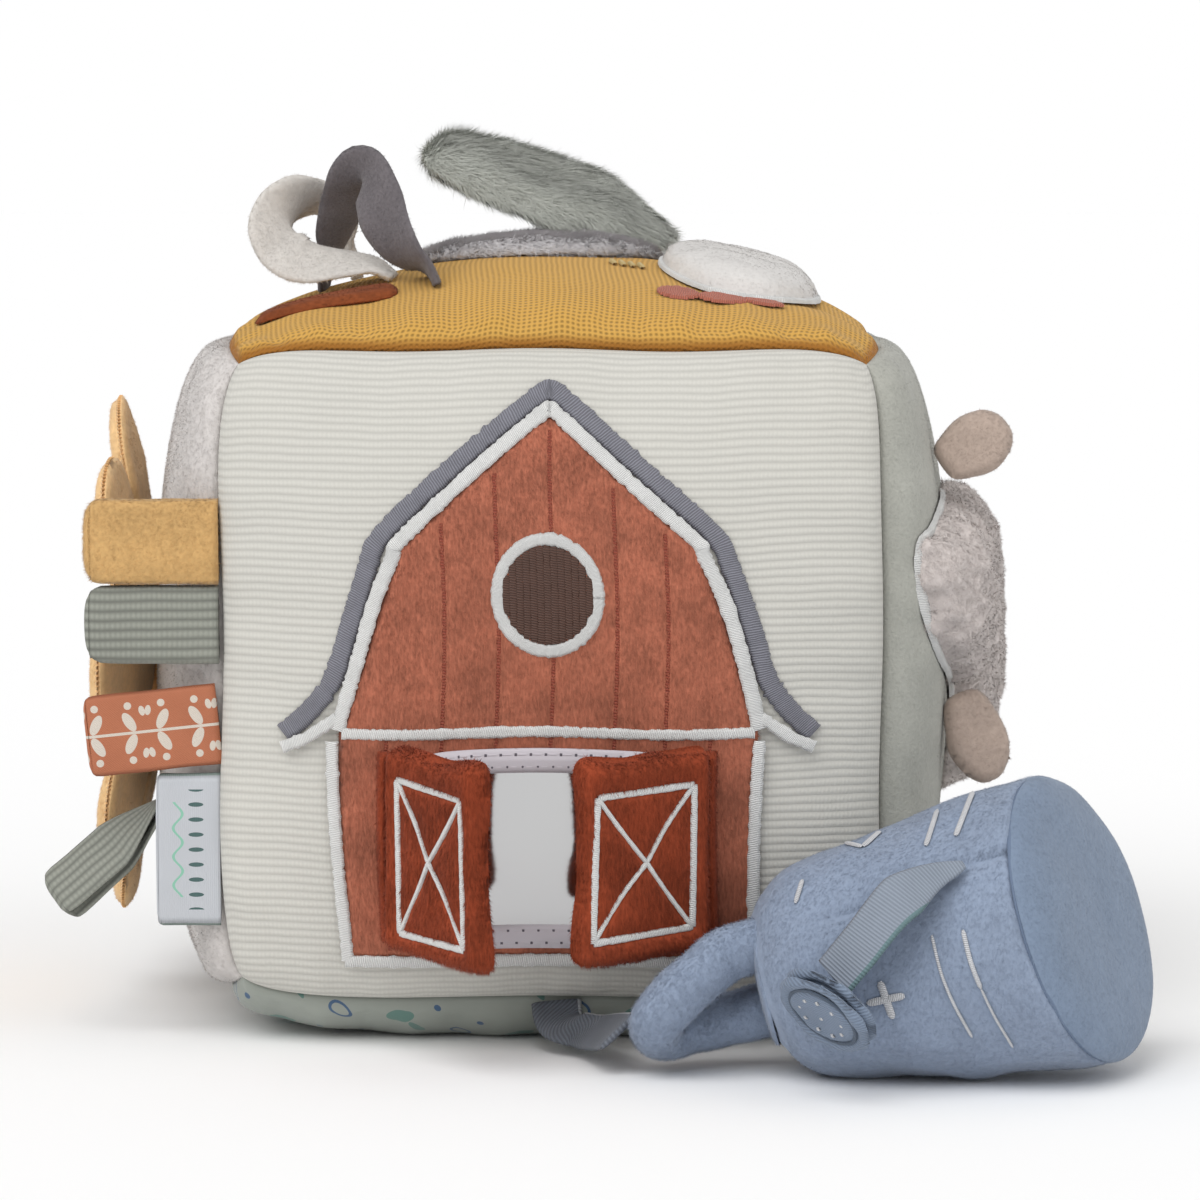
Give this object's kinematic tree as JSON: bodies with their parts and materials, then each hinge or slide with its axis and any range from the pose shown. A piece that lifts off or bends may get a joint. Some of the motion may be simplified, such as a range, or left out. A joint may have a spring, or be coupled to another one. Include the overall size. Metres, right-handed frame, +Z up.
{
  "type": "soft activity block",
  "caption": "Stuffed fabric activity block with hinged soft doors over a mirror, bending tabs, ears, leaf and wing, and a plush watering-can rattle tied on by a ribbon.",
  "frame": {"origin": "on the floor, at the middle of the flat under the block", "axes": "+X to the right of the barn, -Y out of the barn's face towards the viewer, +Z up"},
  "size_m": [0.2183, 0.2216, 0.1837],
  "materials": {
    "cream_waffle": "waffle-rib cotton",
    "back_cotton": "plain cotton",
    "fleece": "short fleece",
    "sage_velvet": "velvet",
    "mustard_waffle": "small waffle weave",
    "printed_satin": "satin",
    "stuffing": "polyester fibre",
    "plastic": "moulded",
    "terracotta_plush": "short plush",
    "grey_thread": "satin stitch",
    "white_thread": "satin stitch",
    "brown_thread": "satin stitch",
    "mirror": "soft mirror film",
    "binding": "woven binding",
    "rust_plush": "short plush",
    "yellow_plush": "short plush",
    "sage_waffle": "waffle weave",
    "rust_satin": "woven satin ribbon",
    "label_satin": "woven satin ribbon",
    "amber_plush": "short plush",
    "wool": "curly plush",
    "ear_plush": "short plush",
    "grey_plush": "long-pile plush",
    "white_plush": "short plush",
    "comb_thread": "satin stitch",
    "cream_plush": "short plush",
    "grey_velvet": "velvet",
    "blue_plush": "short plush",
    "blue_twill": "twill ribbon",
    "petal_plush": "short plush"
  },
  "bodies": {
    "block": {"front_panel": "cream_waffle", "back_panel": "back_cotton", "left_panel": "fleece", "right_panel": "sage_velvet", "top_panel": "mustard_waffle", "bottom_panel": "printed_satin", "cube_filling": "stuffing", "squeaker": "plastic", "barn_wall": "terracotta_plush", "barn_roof": "grey_thread", "barn_gable_trim": "white_thread", "barn_box_trim": "white_thread", "barn_window_ring": "white_thread", "barn_window": "brown_thread", "mirror_film": "mirror", "mirror_binding": "binding", "left_door_fold": "rust_plush", "right_door_fold": "rust_plush", "flower_middle": "amber_plush", "lamb_wool": "wool", "lamb_muzzle": "ear_plush", "hen_body": "grey_plush", "hen_head": "white_plush", "hen_comb": "comb_thread", "cream_loop": "cream_plush", "grey_loop": "grey_velvet", "rust_strip": "amber_plush", "petal_1": "amber_plush", "petal_2": "petal_plush", "petal_3": "amber_plush", "petal_4": "petal_plush", "petal_5": "amber_plush", "petal_6": "petal_plush", "petal_7": "amber_plush", "petal_8": "petal_plush"},
    "left_door": {"left_door": "rust_plush", "left_door_stitching": "white_thread"},
    "right_door": {"right_door": "rust_plush", "right_door_stitching": "white_thread"},
    "tab_yellow": {"tab_yellow": "yellow_plush"},
    "tab_sage": {"tab_sage": "sage_waffle"},
    "tab_woven": {"tab_woven": "rust_satin"},
    "tab_label": {"tab_label": "label_satin"},
    "wing": {"hen_wing": "grey_plush"},
    "ear_upper": {"ear_upper": "ear_plush"},
    "ear_lower": {"ear_lower": "ear_plush"},
    "leaf": {"leaf_loop": "sage_waffle"},
    "tether": {"tether_ribbon": "blue_twill"},
    "can": {"can_side": "blue_plush", "can_base": "blue_plush", "can_top": "blue_plush", "can_filling": "stuffing", "can_handle": "blue_plush", "rattle_capsule": "plastic"},
    "spout": {"can_spout_ribbon": "blue_twill", "rose_face": "blue_twill", "rose_back": "blue_twill"}
  },
  "joints": [
    {"name": "left_door_hinge", "type": "hinge", "parent": "block", "child": "left_door", "pos_m": [-0.0304, -0.08635, 0.0416], "axis": [0, 0, 1], "range_deg": [-65, 49]},
    {"name": "right_door_hinge", "type": "hinge", "parent": "block", "child": "right_door", "pos_m": [0.0304, -0.08635, 0.0416], "axis": [0, 0, 1], "range_deg": [-29, 25]},
    {"name": "tab_yellow_bend", "type": "hinge", "parent": "block", "child": "tab_yellow", "pos_m": [-0.06555, -0.06785, 0.1006], "axis": [0, 0, 1], "range_deg": [-15, 55]},
    {"name": "tab_sage_bend", "type": "hinge", "parent": "block", "child": "tab_sage", "pos_m": [-0.06555, -0.06735, 0.0841], "axis": [0, 0, 1], "range_deg": [-20, 70]},
    {"name": "tab_woven_bend", "type": "hinge", "parent": "block", "child": "tab_woven", "pos_m": [-0.0657, -0.06695, 0.0644], "axis": [0, 0, 1], "range_deg": [-20, 90]},
    {"name": "tab_label_bend", "type": "hinge", "parent": "block", "child": "tab_label", "pos_m": [-0.06555, -0.0663, 0.0392], "axis": [0, 0, 1], "range_deg": [-20, 90]},
    {"name": "wing_bend", "type": "hinge", "parent": "block", "child": "wing", "pos_m": [0.01844, 0.014, 0.16322], "axis": [0, 1, 0], "range_deg": [-1, 80], "stiffness_Nm_per_rad": 0.08},
    {"name": "ear_upper_bend", "type": "hinge", "parent": "block", "child": "ear_upper", "pos_m": [0.07876, -0.045, 0.115], "axis": [-0.4913, 0.3746, 0.7863], "range_deg": [-45, 45], "stiffness_Nm_per_rad": 0.004},
    {"name": "ear_lower_bend", "type": "hinge", "parent": "block", "child": "ear_lower", "pos_m": [0.08244, -0.0455, 0.0685], "axis": [0.8713, 0.3746, 0.3171], "range_deg": [-60, 5], "stiffness_Nm_per_rad": 0.004},
    {"name": "leaf_bend", "type": "hinge", "parent": "block", "child": "leaf", "pos_m": [-0.07812, -0.0545, 0.047], "axis": [0, 1, 0], "range_deg": [-40, 60], "stiffness_Nm_per_rad": 0.01},
    {"name": "tether_swing", "type": "hinge", "parent": "block", "child": "tether", "pos_m": [0.001, -0.0666, 0.00865], "axis": [0, 0, 1], "range_deg": [-28, 0]},
    {"name": "can_turn", "type": "hinge", "parent": "tether", "child": "can", "pos_m": [0.01335, -0.1001, 0.00849], "axis": [0, 0, 1], "range_deg": [-75, 0]},
    {"name": "spout_bend", "type": "hinge", "parent": "can", "child": "spout", "pos_m": [0.07775, -0.12228, 0.04392], "axis": [0.3326, -0.5731, -0.749], "range_deg": [-30, 3], "stiffness_Nm_per_rad": 0.004}
  ]
}
